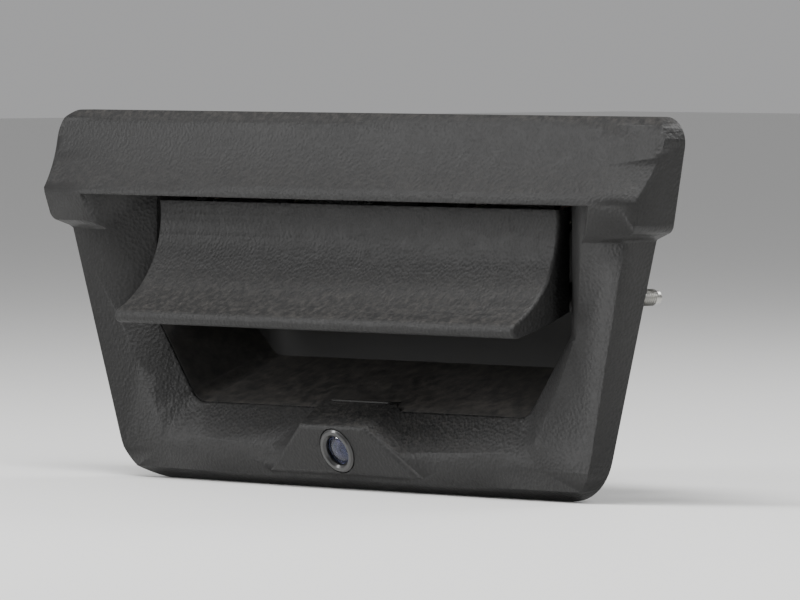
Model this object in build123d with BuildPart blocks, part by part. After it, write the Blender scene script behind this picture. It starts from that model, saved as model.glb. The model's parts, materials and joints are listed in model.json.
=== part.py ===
"""Tailgate pull handle with a built-in backup camera, in millimetres.

+X runs to the right as the handle is looked at, +Z is up, and -Y points out of the tailgate.
The plane y = 0 is the tailgate skin, and the origin lies midway between the two mounting studs.
"""

import math
import os

from build123d import *

os.makedirs("parts", exist_ok=True)

# ---------------------------------------------------------------- driving dimensions
# Bezel, front view
ear_half = 163.0  # half width across the ears
ear_foot_half = 155.0  # half width at the ears' lower ends
body_half = 147.0  # half width just under the ears
base_half = 121.0  # half width near the bottom
top_z = 64.0
ear_foot_z = 24.0
bottom_z = -72.0
wall = 2.8  # bezel skin

# Bezel, side view: how far each level stands out of the skin
visor_top_out = 14.5
visor_lip_out = 26.0
jamb_top_out = 20.0
jamb_foot_out = 14.0
crown_radius = 2500.0  # plan-view crown of the whole front

# Hand opening
window_half = 110.0
window_foot_half = 88.0
window_knee_z = -13.0
window_foot_z = -43.0
ceiling_z = 41.0  # roof of the pocket, above the visor's lip
lip_z = 33.0  # lower edge of the visor over the opening
dish_out = 30.0  # plane where the dish's outer outline is drawn
dish_half = 148.0
dish_knee_half = 142.0
dish_foot_half = 124.0
dish_foot_z = -84.0

# Chassis: back plate and pocket in one moulding
plate_back = 3.0  # back plate's rear face, this far in front of the skin
plate_thick = 2.5
plate_gap = 0.4  # between the plate's edge and the bezel's wall
seat_gap = 0.2  # between the plate and what stands on it
tub_wall = 2.5
tub_depth = 30.0  # inside face of the pocket's back wall
tub_back_half = 103.0
tub_back_foot_half = 84.0
tub_floor_back_z = -27.0

# Paddle and its hinge
paddle_half = 106.0
paddle_wall = 2.6
hinge_y = 6.0
hinge_z = 29.0
pin_radius = 2.5
run_gap = 0.05  # running clearance on a radius
bush_wall = 1.2
bush_length = 7.0
arm_width = 6.0
eye_radius = 6.5
arm_places = (-92.0, -48.0, 48.0, 92.0)

# Finger and crank
finger_reach = 40.0  # from the hinge axis to the finger's tip, and from the crank's pivot to its pin
finger_low_x = 8.0
finger_high_x = 25.0
finger_half = 3.0
drive_pin_radius = 3.0
contact_gap = 0.3
crank_thick = 2.5
crank_front = 48.0
rod_arm = 20.0
rod_radius = 2.5
clip_boss_radius = 4.0

# Camera
camera_tilt = 20.0  # degrees below level
lens_y = -17.5
lens_z = -58.0
case_half_w = 11.0
case_half_h = 8.5
snout_radius = 8.5
barrel_radius = 6.8

case_wall = 1.6
ring_radius = 8.3
glass_half = 4.95  # radius of the lens elements
element_spans = [(3.5, 5.2), (6.2, 8.2), (9.4, 11.4)]
filter_front = 12.3
filter_thick = 0.6
case_front = 8.5  # distances behind the lens ring's front, along the lens axis
case_split = 17.0
rear_front = 17.6
case_end = 21.8
socket_end = 33.0
socket_width = 13.0
socket_height = 9.0
board_front = 15.2
board_thick = 1.2
pin_half = 0.5

# Mounting
stud_x = 125.0
stud_radius = 3.0
stud_length = 22.0
stud_collar_radius = 3.8
stud_head_radius = 5.6  # across the corners, halved
stud_head_height = 3.4
boss_radius = 6.5  # bosses on the chassis round the studs and the hinge pin

# Screws
screw_head_height = 1.5
plate_head_radius = 3.1
plate_head_height = 1.6
bracket_head_radius = 3.3
cover_head_radius = 2.7
camera_head_radius = 2.6
small_screw_radius = 1.2
case_head_radius = 1.4
case_head_height = 1.1
case_screw_radius = 0.7

# ---------------------------------------------------------------- derived places
pin_places = [(x, 0) for x in (-3.6, -1.2, 1.2, 3.6)]
panel_back = 3.0  # rear face of the panel behind the paddle's cover
panel_front = 5.6
cover_screw_places = [(-84, 14), (-40, 14), (40, 14), (84, 14)]
arm_spans = [(x - arm_width / 2, x + arm_width / 2) for x in arm_places]
arm_spans.append((finger_low_x, finger_high_x))
bush_outer = pin_radius + run_gap + bush_wall
spring_low_x = -36.0
spring_high_x = 0.0
coil_outer = 5.2
wire = 1.6
bracket_thick = 2.0
rivet_radius = 3.0
drive_pin_front = 36.0
crank_back = crank_front + crank_thick
plate_front = plate_back + plate_thick
rim_gap = 0.4  # bezel rim to the skin
screw_radius = 1.5
screw_length = 6.5
bracket_front = 44.0
clip_head_radius = 6.2
channel_out = 14.5  # rod channel, from the clip's swivel
channel_behind = 5.2  # rod channel's centre, behind the clip's face
rivet_neck = 4.4  # hole in the crank plate round its bush
peg_radius = 2.0  # drive pin's end, riveted into the crank
bracket_screw_places = [(-44, 36), (-44, 10), (2, 14)]
rib_places = (-138, -110, -70, -25, 25, 70, 110, 138)
hinge_boss_x = 112.5  # outer ends of the hinge bosses
hinge_boss_inner_x = 104.0
pin_half_length = 115.0
pin_groove_radius = 2.0
bumper_x = 99.5
bumper_radius = 3.2
rib_proud = 1.8  # ribs behind the back wall
foam_proud = 1.5  # foam standing behind the skin before it is squeezed
pad_x = 78.0
pad_z = 50.0
hump_top_drop = 40.0  # top of the hump over the camera, below the origin
camera_screw_x = 16.5
pod_back = 0.8  # lens housing face behind the ring
seat_back = 7.5  # camera seat face behind the ring
plate_screw_places = [(0, 52), (-92, 52), (92, 52), (-62, -57), (62, -57), (-119, -24), (119, -24)]
window_out = plate_front + seat_gap  # bezel walls around the opening end here
crank_pivot_z = hinge_z - finger_half - contact_gap - drive_pin_radius
finger_x = (finger_low_x + finger_high_x) / 2 + 3.5  # where the finger meets the drive pin
crank_pivot_x = finger_x - finger_reach
rod_places = [
    (crank_pivot_x, crank_pivot_z + rod_arm),
    (crank_pivot_x, crank_pivot_z - rod_arm),
]
tub_back = tub_depth + tub_wall
lens_out = (0, -math.cos(math.radians(camera_tilt)), -math.sin(math.radians(camera_tilt)))
parts = {}


def front(out):
    """Plane parallel to the skin, this far in front of it, with local axes X and Z."""
    return Plane.XZ.offset(out)


def camera_plane(behind):
    """Plane across the lens axis, this far behind the lens ring's front."""
    return Plane(
        origin=tuple(p - behind * d for p, d in zip((0, lens_y, lens_z), lens_out)),
        x_dir=(1, 0, 0),
        z_dir=lens_out,
    )


def keep(builder, name):
    """Labels a finished piece and writes it."""
    builder.part.label = name
    parts[name] = builder.part
    export_step(builder.part, f"parts/{name}.step")


# ---------------------------------------------------------------- outlines, flat, local x and y
with BuildSketch() as bezel_outline:
    with BuildLine():
        FilletPolyline(
            (0, top_z),
            (ear_half, top_z),
            (ear_foot_half, ear_foot_z),
            (body_half, ear_foot_z - 3),
            (base_half, bottom_z),
            (0, bottom_z),
            radius=(9, 4, 1.5, 20),
        )
        mirror(about=Plane.YZ)
    make_face()

with BuildSketch() as window_outline:
    with BuildLine():
        FilletPolyline(
            (0, ceiling_z),
            (window_half, ceiling_z),
            (window_half, window_knee_z),
            (window_foot_half, window_foot_z),
            (0, window_foot_z),
            radius=(4, 9, 9),
        )
        mirror(about=Plane.YZ)
    make_face()

with BuildSketch() as dish_outline:
    with BuildLine():
        FilletPolyline(
            (0, ceiling_z),
            (dish_half, ceiling_z),
            (dish_knee_half, window_knee_z),
            (dish_foot_half, dish_foot_z),
            (0, dish_foot_z),
            radius=(4, 14, 22),
        )
        mirror(about=Plane.YZ)
    make_face()

with BuildSketch() as back_outline:
    with BuildLine():
        FilletPolyline(
            (0, ceiling_z - 1),
            (tub_back_half, ceiling_z - 1),
            (tub_back_half, window_knee_z + 4),
            (tub_back_foot_half, tub_floor_back_z),
            (0, tub_floor_back_z),
            radius=(4, 8, 8),
        )
        mirror(about=Plane.YZ)
    make_face()

# Side view of the bezel: local x is Y and local y is Z
with BuildSketch() as side_profile:
    with BuildLine():
        top_edge = Polyline((20, top_z), (-visor_top_out + 3, top_z), (-visor_top_out, top_z - 3))
        visor_curve = ThreePointArc(
            top_edge @ 1,
            (-visor_top_out - 3.6, (top_z + lip_z) / 2),
            (-visor_lip_out, lip_z + 2),
        )
        Polyline(
            visor_curve @ 1,
            (-visor_lip_out, lip_z),
            (-visor_lip_out + 2, ear_foot_z - 1),
            (-jamb_top_out, ear_foot_z - 4),
            (-jamb_foot_out, bottom_z + 11),
            (-jamb_foot_out + 2, bottom_z + 4),
            (-jamb_foot_out + 9, bottom_z),
            (20, bottom_z),
            (20, top_z),
        )
    make_face()

crown_axis = Axis((0, crown_radius, 0), (0, 0, 1))
crown_sweep = 14.0
crown_start = Plane(
    origin=(
        -crown_radius * math.sin(math.radians(crown_sweep / 2)),
        crown_radius - crown_radius * math.cos(math.radians(crown_sweep / 2)),
        0,
    ),
    x_dir=(
        math.sin(math.radians(crown_sweep / 2)),
        math.cos(math.radians(crown_sweep / 2)),
        0,
    ),
    z_dir=(
        math.cos(math.radians(crown_sweep / 2)),
        -math.sin(math.radians(crown_sweep / 2)),
        0,
    ),
)

# ---------------------------------------------------------------- bezel
with BuildPart() as crowned_form:
    with BuildSketch(crown_start):
        add(side_profile.sketch)
    revolve(axis=crown_axis, revolution_arc=crown_sweep)

with BuildPart() as crowned_core:
    with BuildSketch(crown_start):
        add(side_profile.sketch)
        offset(amount=-wall)
    revolve(axis=crown_axis, revolution_arc=crown_sweep)

with BuildPart() as outer_form:
    with BuildSketch(front(rim_gap)):
        add(bezel_outline.sketch)
    extrude(amount=40)
    add(crowned_form.part, mode=Mode.INTERSECT)

with BuildPart() as inner_form:
    with BuildSketch(front(-1)):
        add(bezel_outline.sketch)
        offset(amount=-wall)
    extrude(amount=41)
    add(crowned_core.part, mode=Mode.INTERSECT)

# The scoop in front of the opening, reaching up behind the visor's lip
with BuildPart() as scoop_form:
    with BuildSketch(front(dish_out)):
        add(dish_outline.sketch)
    with BuildSketch(front(window_out)):
        add(window_outline.sketch)
    loft()
    with BuildSketch(front(window_out)):
        add(window_outline.sketch)
    extrude(amount=-8)

with BuildPart() as upper_scoop:
    add(scoop_form.part)
    with Locations((0, 0, lip_z + 50)):
        Box(400, 100, 100, mode=Mode.INTERSECT)
    add(crowned_core.part, mode=Mode.INTERSECT)

with BuildPart() as dish_form:
    add(scoop_form.part)
    with Locations((0, 0, lip_z + 50)):
        Box(400, 100, 100, mode=Mode.SUBTRACT)
    add(upper_scoop.part)

with BuildPart() as dish_skin_form:
    with BuildSketch(front(dish_out)):
        add(dish_outline.sketch)
        offset(amount=wall + 0.4)
    with BuildSketch(front(window_out)):
        add(window_outline.sketch)
        offset(amount=wall + 0.4)
    loft()

with BuildPart() as hidden_space:
    add(inner_form.part)
    add(dish_skin_form.part, mode=Mode.SUBTRACT)

# Raised housing round the lens, widening downwards
with BuildPart() as pod_form:
    with BuildSketch(camera_plane(pod_back)):
        Polygon((-17, 9.5), (17, 9.5), (40, -9.5), (-40, -9.5), align=None)
    with BuildSketch(camera_plane(26)):
        Polygon((-21, 14), (21, 14), (50, -13), (-50, -13), align=None)
    loft()
    fillet(pod_form.faces().sort_by(Axis.Y)[0].edges(), radius=1.6)
    add(hidden_space.part, mode=Mode.SUBTRACT)

# Room for the back plate
with BuildPart() as plate_space:
    with BuildSketch(front(window_out)):
        add(bezel_outline.sketch)
        offset(amount=-wall)
    extrude(amount=-20)

# Ribs inside the visor and posts for the screws from behind
with BuildPart() as inner_details:
    with BuildSketch(Plane.XY.offset(ceiling_z + 1)):
        with Locations(*[(x, -15) for x in rib_places]):
            Rectangle(2, 30)
    extrude(amount=top_z - ceiling_z - 2)
    with BuildSketch(front(window_out)):
        with Locations(*plate_screw_places):
            Circle(3 * screw_radius)
    extrude(amount=14)
    add(hidden_space.part, mode=Mode.INTERSECT)

with BuildPart() as bezel:
    add(outer_form.part)
    add(hidden_space.part, mode=Mode.SUBTRACT)
    add(dish_form.part, mode=Mode.SUBTRACT)
    add(pod_form.part)
    # Seat for the camera behind its housing
    with BuildSketch(camera_plane(seat_back)):
        Polygon((-16, 8), (16, 8), (24, -8.5), (-24, -8.5), align=None)
    extrude(amount=seat_back - pod_back - 2)
    add(inner_details.part)
    add(plate_space.part, mode=Mode.SUBTRACT)
    with BuildSketch(front(window_out)):
        with Locations(*plate_screw_places):
            Circle(screw_radius)
    extrude(amount=screw_length - plate_thick, mode=Mode.SUBTRACT)
    # Room for the camera: its case, its snout, and the two screws that hold it
    with BuildSketch(camera_plane(seat_back)):
        Rectangle(2 * case_half_w + 0.8, 2 * case_half_h + 0.8)
        Rectangle(2 * camera_screw_x + 8, 8)
    extrude(amount=-20, mode=Mode.SUBTRACT)
    with BuildSketch(camera_plane(-8)):
        Circle(snout_radius + 0.2)
    extrude(amount=-30, mode=Mode.SUBTRACT)
    with BuildSketch(camera_plane(seat_back)):
        with Locations((-camera_screw_x, 0), (camera_screw_x, 0)):
            Circle(small_screw_radius)
    extrude(amount=4.2, mode=Mode.SUBTRACT)

keep(bezel, "bezel")

# ---------------------------------------------------------------- chassis: back plate and pocket
with BuildPart() as pocket_skin:
    with BuildSketch(front(plate_front)):
        add(window_outline.sketch)
        offset(amount=tub_wall)
    with BuildSketch(front(-tub_back)):
        add(back_outline.sketch)
        offset(amount=tub_wall)
    loft()

with BuildPart() as pocket_space:
    with BuildSketch(front(plate_front)):
        add(window_outline.sketch)
    with BuildSketch(front(-tub_depth)):
        add(back_outline.sketch)
    loft()

with BuildPart() as pocket_details:
    # Hump over the camera, ledges that stop the paddle, and inner ends of the hinge bosses
    with Locations((0, 1.5, -55)):
        Box(2 * case_half_w + 8, 14, 2 * (55 - hump_top_drop))
    with Locations(*[(side * 105, 5, 0) for side in (-1, 1)]):
        Box(16, 8, 10)
    with BuildSketch(Plane.YZ.offset(-hinge_boss_x)):
        with Locations((hinge_y, hinge_z)):
            Circle(boss_radius)
    extrude(amount=hinge_boss_x - hinge_boss_inner_x)
    with BuildSketch(Plane.YZ.offset(hinge_boss_inner_x)):
        with Locations((hinge_y, hinge_z)):
            Circle(boss_radius)
    extrude(amount=hinge_boss_x - hinge_boss_inner_x)
    add(pocket_space.part, mode=Mode.INTERSECT)

with BuildPart() as pocket_chassis:
    with BuildSketch(front(plate_back)):
        add(bezel_outline.sketch)
        offset(amount=-wall - plate_gap)
    extrude(amount=plate_thick)
    add(pocket_skin.part)
    # Stiffening ribs behind the back wall
    with BuildSketch(front(-tub_depth - 1)):
        with Locations((-77, 6), (62, 6)):
            Rectangle(48, 1.6)
        with Locations(*[(x, 7) for x in (-94, -78, -62, 44, 62, 80, 95)]):
            Rectangle(1.6, 46)
    extrude(amount=-(tub_wall + rib_proud - 1))
    with BuildSketch(Plane.YZ.offset(-hinge_boss_x)):
        with Locations((hinge_y, hinge_z)):
            Circle(boss_radius)
    extrude(amount=2 * hinge_boss_x)
    # Bosses round the studs and pads that set the depth
    with BuildSketch(front(0)):
        with Locations((-stud_x, 0), (stud_x, 0)):
            Circle(boss_radius)
        with Locations((-pad_x, pad_z), (pad_x, pad_z)):
            Rectangle(16, 9)
    extrude(amount=plate_front - 1)
    add(pocket_space.part, mode=Mode.SUBTRACT)
    add(pocket_details.part)
    # Room for the camera under the hump
    with Locations((0, 0.5, -53)):
        Box(2 * case_half_w + 3, 14, 23, mode=Mode.SUBTRACT)
    with Locations((0, -plate_back - plate_thick / 2, -54)):
        Box(2 * camera_screw_x + 9, plate_thick + 1, 13, mode=Mode.SUBTRACT)
    # Slot for the finger
    with Locations(((finger_low_x + finger_high_x) / 2, tub_depth + 1, 19)):
        Box(finger_high_x - finger_low_x + 4, 8, 31, mode=Mode.SUBTRACT)
    # Holes for the pin, studs and screws
    with BuildSketch(Plane.YZ.offset(-120)):
        with Locations((hinge_y, hinge_z)):
            Circle(pin_radius)
    extrude(amount=240, mode=Mode.SUBTRACT)
    with BuildSketch(front(-10)):
        with Locations((-stud_x, 0), (stud_x, 0)):
            Circle(stud_collar_radius)
        with Locations(*plate_screw_places):
            Circle(screw_radius + 0.2)
    extrude(amount=30, mode=Mode.SUBTRACT)
    with BuildSketch(front(-tub_back)):
        with Locations(*bracket_screw_places):
            Circle(screw_radius)
    extrude(amount=10, mode=Mode.SUBTRACT)

keep(pocket_chassis, "pocket_chassis")

# Foam strip round the rear of the plate
with BuildPart() as seal_gasket:
    with BuildSketch(front(plate_back)):
        add(bezel_outline.sketch)
        offset(amount=-wall - plate_gap - 0.8)
    extrude(amount=-plate_back - foam_proud)
    with BuildSketch(front(plate_back)):
        add(bezel_outline.sketch)
        offset(amount=-wall - plate_gap - 4.8)
    extrude(amount=-plate_back - foam_proud, mode=Mode.SUBTRACT)
keep(seal_gasket, "seal_gasket")

with BuildPart() as plate_screws:
    with BuildSketch(front(plate_back)):
        with Locations(*plate_screw_places):
            Circle(plate_head_radius)
    extrude(amount=-plate_head_height)
    with BuildSketch(front(plate_back)):
        with Locations(*plate_screw_places):
            Circle(screw_radius)
    extrude(amount=screw_length)
keep(plate_screws, "plate_screws")

with BuildPart() as mounting_studs:
    with BuildSketch(front(plate_front)):
        with Locations((-stud_x, 0), (stud_x, 0)):
            RegularPolygon(radius=stud_head_radius, side_count=6)
    extrude(amount=stud_head_height)
    # Splined collar through the plate, then the threaded end
    with BuildSketch(front(plate_front)):
        with Locations((-stud_x, 0), (stud_x, 0)):
            Circle(stud_collar_radius)
    extrude(amount=-plate_front)
    with BuildSketch(front(0)):
        with Locations((-stud_x, 0), (stud_x, 0)):
            Circle(stud_radius)
    extrude(amount=-stud_length)
    chamfer(mounting_studs.faces().sort_by(Axis.Y)[-2:].edges(), length=0.6)
keep(mounting_studs, "mounting_studs")

# ---------------------------------------------------------------- paddle
# Side view of the paddle: local x is Y and local y is Z
with BuildSketch() as paddle_profile:
    with BuildLine():
        grip_curve = ThreePointArc((-9, 31), (-12.5, 9), (-30, -9))
        lip_curve = ThreePointArc(grip_curve @ 1, (-30.8, -12.4), (-28.3, -14))
        Polyline(lip_curve @ 1, (-12, -9), (-3, -5), (-3, 31), (-9, 31))
    make_face()

with BuildSketch() as paddle_inside:
    add(paddle_profile.sketch)
    offset(amount=-paddle_wall)
    with BuildLine():
        Polyline((-7, 28.4), (4, 28.4), (4, -3.2), (-5.6, -3.2), (-7, -3.8), (-7, 28.4))
    make_face()

with BuildPart() as paddle_cover:
    with BuildSketch(Plane.YZ.offset(-paddle_half)):
        add(paddle_profile.sketch)
    extrude(amount=2 * paddle_half)
    fillet(paddle_cover.faces().sort_by(Axis.X)[0].edges().filter_by(GeomType.CIRCLE), radius=1.2)
    fillet(paddle_cover.faces().sort_by(Axis.X)[-1].edges().filter_by(GeomType.CIRCLE), radius=1.2)
    with BuildSketch(Plane.YZ.offset(-paddle_half + paddle_wall)):
        add(paddle_inside.sketch)
    extrude(amount=2 * (paddle_half - paddle_wall), mode=Mode.SUBTRACT)
    with BuildSketch(front(panel_front)):
        with Locations(*cover_screw_places):
            Circle(3.2)
    extrude(amount=3.6)
    with BuildSketch(front(panel_front)):
        with Locations(*cover_screw_places):
            Circle(small_screw_radius)
    extrude(amount=3.6, mode=Mode.SUBTRACT)
keep(paddle_cover, "paddle_cover")

with BuildPart() as paddle_core:
    with BuildSketch(front(panel_back)):
        with Locations((0, 12.6)):
            RectangleRounded(2 * (paddle_half - paddle_wall - 0.2), 31.2, radius=1.5)
    extrude(amount=panel_front - panel_back)
    # Ribs across the back
    with BuildSketch(front(-1)):
        with Locations((0, 5)):
            Rectangle(168, 1.8)
        with Locations(*[(x, 11) for x in (-74, -60, -31, -20, 33, 63, 77)]):
            Rectangle(1.8, 26)
    extrude(amount=4.2)
    # Arms and the finger, all carrying the hinge pin
    for start, stop in arm_spans:
        with BuildSketch(Plane.YZ.offset(start)):
            Polygon((-4, 8), (-4, 27), (-3, 27.6), (3, 34.5), (10, 34), (12, 28), (8.6, 23.2), align=None)
            with Locations((hinge_y, hinge_z)):
                Circle(eye_radius)
        extrude(amount=stop - start)
    with BuildSketch(Plane.YZ.offset(finger_low_x)):
        Polygon(
            (6, 23),
            (13, hinge_z - finger_half),
            (hinge_y + finger_reach, hinge_z - finger_half),
            (hinge_y + finger_reach, hinge_z + 1.5),
            (hinge_y + finger_reach - 8, hinge_z + finger_half),
            (6, 35.4),
            align=None,
        )
    extrude(amount=finger_high_x - finger_low_x)
    # Bores: tight on the bushes in the arms, open at the finger
    with BuildSketch(Plane.YZ.offset(-100)):
        with Locations((hinge_y, hinge_z)):
            Circle(pin_radius + 0.5)
    extrude(amount=200, mode=Mode.SUBTRACT)
    for place in arm_places:
        with BuildSketch(Plane.YZ.offset(place - 5)):
            with Locations((hinge_y, hinge_z)):
                Circle(bush_outer)
        extrude(amount=10, mode=Mode.SUBTRACT)
    with BuildSketch(front(panel_back)):
        with Locations(*cover_screw_places):
            Circle(small_screw_radius + 0.2)
    extrude(amount=5, mode=Mode.SUBTRACT)
keep(paddle_core, "paddle_core")

with BuildPart() as cover_screws:
    with BuildSketch(front(panel_back)):
        with Locations(*cover_screw_places):
            Circle(cover_head_radius)
    extrude(amount=-screw_head_height)
    with BuildSketch(front(panel_back)):
        with Locations(*cover_screw_places):
            Circle(small_screw_radius)
    extrude(amount=5.8)
keep(cover_screws, "cover_screws")

# ---------------------------------------------------------------- hinge
with BuildPart() as hinge_pin:
    with BuildSketch(Plane.YZ.offset(-pin_half_length)):
        with Locations((hinge_y, hinge_z)):
            Circle(pin_radius)
    extrude(amount=2 * pin_half_length)
    chamfer(hinge_pin.edges().filter_by(GeomType.CIRCLE), length=0.5)
    for side in (-1, 1):
        with BuildSketch(Plane.YZ.offset(side * (hinge_boss_x + 0.6))):
            with Locations((hinge_y, hinge_z)):
                Circle(4)
                Circle(pin_groove_radius, mode=Mode.SUBTRACT)
        extrude(amount=0.5, both=True, mode=Mode.SUBTRACT)
keep(hinge_pin, "hinge_pin")

with BuildPart() as pin_clips:
    for side in (-1, 1):
        with BuildSketch(Plane.YZ.offset(side * (hinge_boss_x + 0.6))):
            with Locations((hinge_y, hinge_z)):
                Circle(5)
                Circle(pin_groove_radius, mode=Mode.SUBTRACT)
            with Locations((hinge_y + 4, hinge_z)):
                Rectangle(8, 2.6, mode=Mode.SUBTRACT)
        extrude(amount=0.4, both=True)
keep(pin_clips, "pin_clips")

with BuildPart() as hinge_bushes:
    for place in arm_places:
        with BuildSketch(Plane.YZ.offset(place - bush_length / 2)):
            with Locations((hinge_y, hinge_z)):
                Circle(bush_outer)
                Circle(pin_radius + run_gap, mode=Mode.SUBTRACT)
        extrude(amount=bush_length)
keep(hinge_bushes, "hinge_bushes")

# Coil round the pin, with one leg against the paddle and one against the pocket's roof
with BuildPart() as return_spring:
    with BuildSketch(Plane.YZ.offset(spring_low_x)):
        with Locations((hinge_y, hinge_z)):
            Circle(coil_outer)
            Circle(coil_outer - wire, mode=Mode.SUBTRACT)
    extrude(amount=spring_high_x - spring_low_x)
    with BuildSketch(front(-hinge_y)):
        with Locations((spring_low_x + wire / 2, hinge_z - coil_outer + wire / 2)):
            Circle(wire / 2)
    extrude(amount=hinge_y + 2.6)
    with BuildSketch(Plane.XY.offset(hinge_z)):
        with Locations((spring_high_x - wire / 2, hinge_y + coil_outer - wire / 2)):
            Circle(wire / 2)
    extrude(amount=ceiling_z - hinge_z - 0.9)
keep(return_spring, "return_spring")

with BuildPart() as paddle_bumpers:
    with BuildSketch(front(-1)):
        with Locations((-bumper_x, 0), (bumper_x, 0)):
            Circle(bumper_radius)
    extrude(amount=1 + panel_back - contact_gap)
    chamfer(paddle_bumpers.faces().sort_by(Axis.Y)[:2].edges(), length=0.6)
keep(paddle_bumpers, "paddle_bumpers")

# ---------------------------------------------------------------- crank
with BuildPart() as bracket_spacers:
    with BuildSketch(front(-tub_back)):
        with Locations(*bracket_screw_places):
            Circle(4)
            Circle(screw_radius, mode=Mode.SUBTRACT)
    extrude(amount=-(bracket_front - tub_back))
keep(bracket_spacers, "bracket_spacers")

with BuildPart() as crank_bracket:
    with BuildSketch(front(-bracket_front)):
        Polygon(
            (-50, 41),
            (-36, 41),
            (-28, 31),
            (-4, 26),
            (6.5, 20),
            (6.5, 8.5),
            (-12, 8.5),
            (-38, 4.5),
            (-50, 4.5),
            align=None,
        )
    extrude(amount=-bracket_thick)
    with BuildSketch(front(-bracket_front + 1)):
        with Locations(*bracket_screw_places):
            Circle(screw_radius + 0.2)
        with Locations((crank_pivot_x, crank_pivot_z)):
            Circle(rivet_radius)
    extrude(amount=-5, mode=Mode.SUBTRACT)
keep(crank_bracket, "crank_bracket")

with BuildPart() as bracket_screws:
    with BuildSketch(front(-bracket_front - bracket_thick)):
        with Locations(*bracket_screw_places):
            Circle(bracket_head_radius)
    extrude(amount=-screw_head_height)
    with BuildSketch(front(-bracket_front - bracket_thick)):
        with Locations(*bracket_screw_places):
            Circle(screw_radius)
    extrude(amount=bracket_thick + bracket_front - tub_depth)
keep(bracket_screws, "bracket_screws")

with BuildPart() as crank_rivet:
    with BuildSketch(front(-bracket_front)):
        with Locations((crank_pivot_x, crank_pivot_z)):
            Circle(4.6)
    extrude(amount=1.4)
    with BuildSketch(front(-bracket_front)):
        with Locations((crank_pivot_x, crank_pivot_z)):
            Circle(rivet_radius)
    extrude(amount=-(crank_back + contact_gap - bracket_front))
    with BuildSketch(front(-crank_back - contact_gap)):
        with Locations((crank_pivot_x, crank_pivot_z)):
            Circle(6.2)
    extrude(amount=-1.8)
    chamfer(crank_rivet.faces().sort_by(Axis.Y)[-1].edges(), length=0.8)
keep(crank_rivet, "crank_rivet")

with BuildPart() as crank_bush:
    with BuildSketch(front(-bracket_front - bracket_thick - contact_gap)):
        with Locations((crank_pivot_x, crank_pivot_z)):
            Circle(7)
            Circle(rivet_radius + run_gap, mode=Mode.SUBTRACT)
    extrude(amount=-(crank_front - bracket_front - bracket_thick - contact_gap))
    with BuildSketch(front(-crank_front)):
        with Locations((crank_pivot_x, crank_pivot_z)):
            Circle(rivet_neck)
            Circle(rivet_radius + run_gap, mode=Mode.SUBTRACT)
    extrude(amount=-crank_thick)
keep(crank_bush, "crank_bush")

with BuildPart() as crank_plate:
    with BuildSketch(front(-crank_front)):
        with Locations((crank_pivot_x, crank_pivot_z)):
            Circle(10)
            Rectangle(13, 2 * rod_arm)
        with Locations((crank_pivot_x + finger_reach / 2, crank_pivot_z)):
            Rectangle(finger_reach, 11)
        with Locations((crank_pivot_x + finger_reach, crank_pivot_z)):
            Circle(6.5)
        with Locations(*rod_places):
            Circle(7.5)
        offset(amount=4)
        offset(amount=-4)
        with Locations((crank_pivot_x, crank_pivot_z)):
            Circle(rivet_neck, mode=Mode.SUBTRACT)
        with Locations((crank_pivot_x + finger_reach, crank_pivot_z)):
            Circle(peg_radius, mode=Mode.SUBTRACT)
        with Locations(*rod_places):
            Circle(clip_boss_radius + run_gap, mode=Mode.SUBTRACT)
    extrude(amount=-crank_thick)
keep(crank_plate, "crank_plate")

with BuildPart() as crank_drive_pin:
    with BuildSketch(front(-drive_pin_front)):
        with Locations((crank_pivot_x + finger_reach, crank_pivot_z)):
            Circle(drive_pin_radius)
    extrude(amount=-(crank_front - drive_pin_front))
    with BuildSketch(front(-crank_front)):
        with Locations((crank_pivot_x + finger_reach, crank_pivot_z)):
            Circle(peg_radius)
    extrude(amount=-crank_thick)
    with BuildSketch(front(-crank_back)):
        with Locations((crank_pivot_x + finger_reach, crank_pivot_z)):
            Circle(3.4)
    extrude(amount=-1.2)
    chamfer(crank_drive_pin.faces().sort_by(Axis.Y)[0].edges(), length=0.5)
keep(crank_drive_pin, "crank_drive_pin")

# Swivelling clips for the latch rods, the left one on the upper arm
clip_sides = {"rod_clip_left": (-1, rod_places[0]), "rod_clip_right": (1, rod_places[1])}
for clip_name, (side, place) in clip_sides.items():
    with BuildPart() as rod_clip:
        with BuildSketch(front(-crank_front + contact_gap + 1.2)):
            with Locations(place):
                Circle(clip_head_radius)
        extrude(amount=-1.2)
        with BuildSketch(front(-crank_front + contact_gap)):
            with Locations(place):
                Circle(clip_boss_radius)
        extrude(amount=-(crank_thick + 2 * contact_gap))
        with BuildSketch(front(-crank_back - contact_gap)):
            with Locations(place):
                Circle(clip_head_radius)
            with Locations((place[0] + side * 9, place[1])):
                Rectangle(18, 8)
        extrude(amount=-2.8)
        # Open channel that grips the rod's straight part
        with BuildSketch(Plane.YZ.offset(place[0] + side * channel_out)):
            with Locations((crank_back + contact_gap + channel_behind, place[1])):
                Circle(4.2)
        extrude(amount=3.5, both=True)
        with BuildSketch(Plane.YZ.offset(place[0] + side * channel_out)):
            with Locations((crank_back + contact_gap + channel_behind, place[1])):
                Circle(rod_radius)
            with Locations((crank_back + contact_gap + channel_behind + 3, place[1])):
                Rectangle(6, 4.2)
        extrude(amount=4, both=True, mode=Mode.SUBTRACT)
        with BuildSketch(front(-crank_front + 3)):
            with Locations(place):
                Circle(rod_radius)
        extrude(amount=-12, mode=Mode.SUBTRACT)
    keep(rod_clip, clip_name)

# ---------------------------------------------------------------- camera
lens_axis = Axis((0, lens_y, lens_z), lens_out)
# Section through the lens: local x is the radius and local y the distance behind the ring
lens_section = Plane(
    origin=(0, lens_y, lens_z), x_dir=(1, 0, 0), z_dir=(0, lens_out[2], -lens_out[1])
)
corner_places = [(x, y) for x in (-9.2, 9.2) for y in (-6.7, 6.7)]
ear_places = [(-camera_screw_x, 0), (camera_screw_x, 0)]

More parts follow.
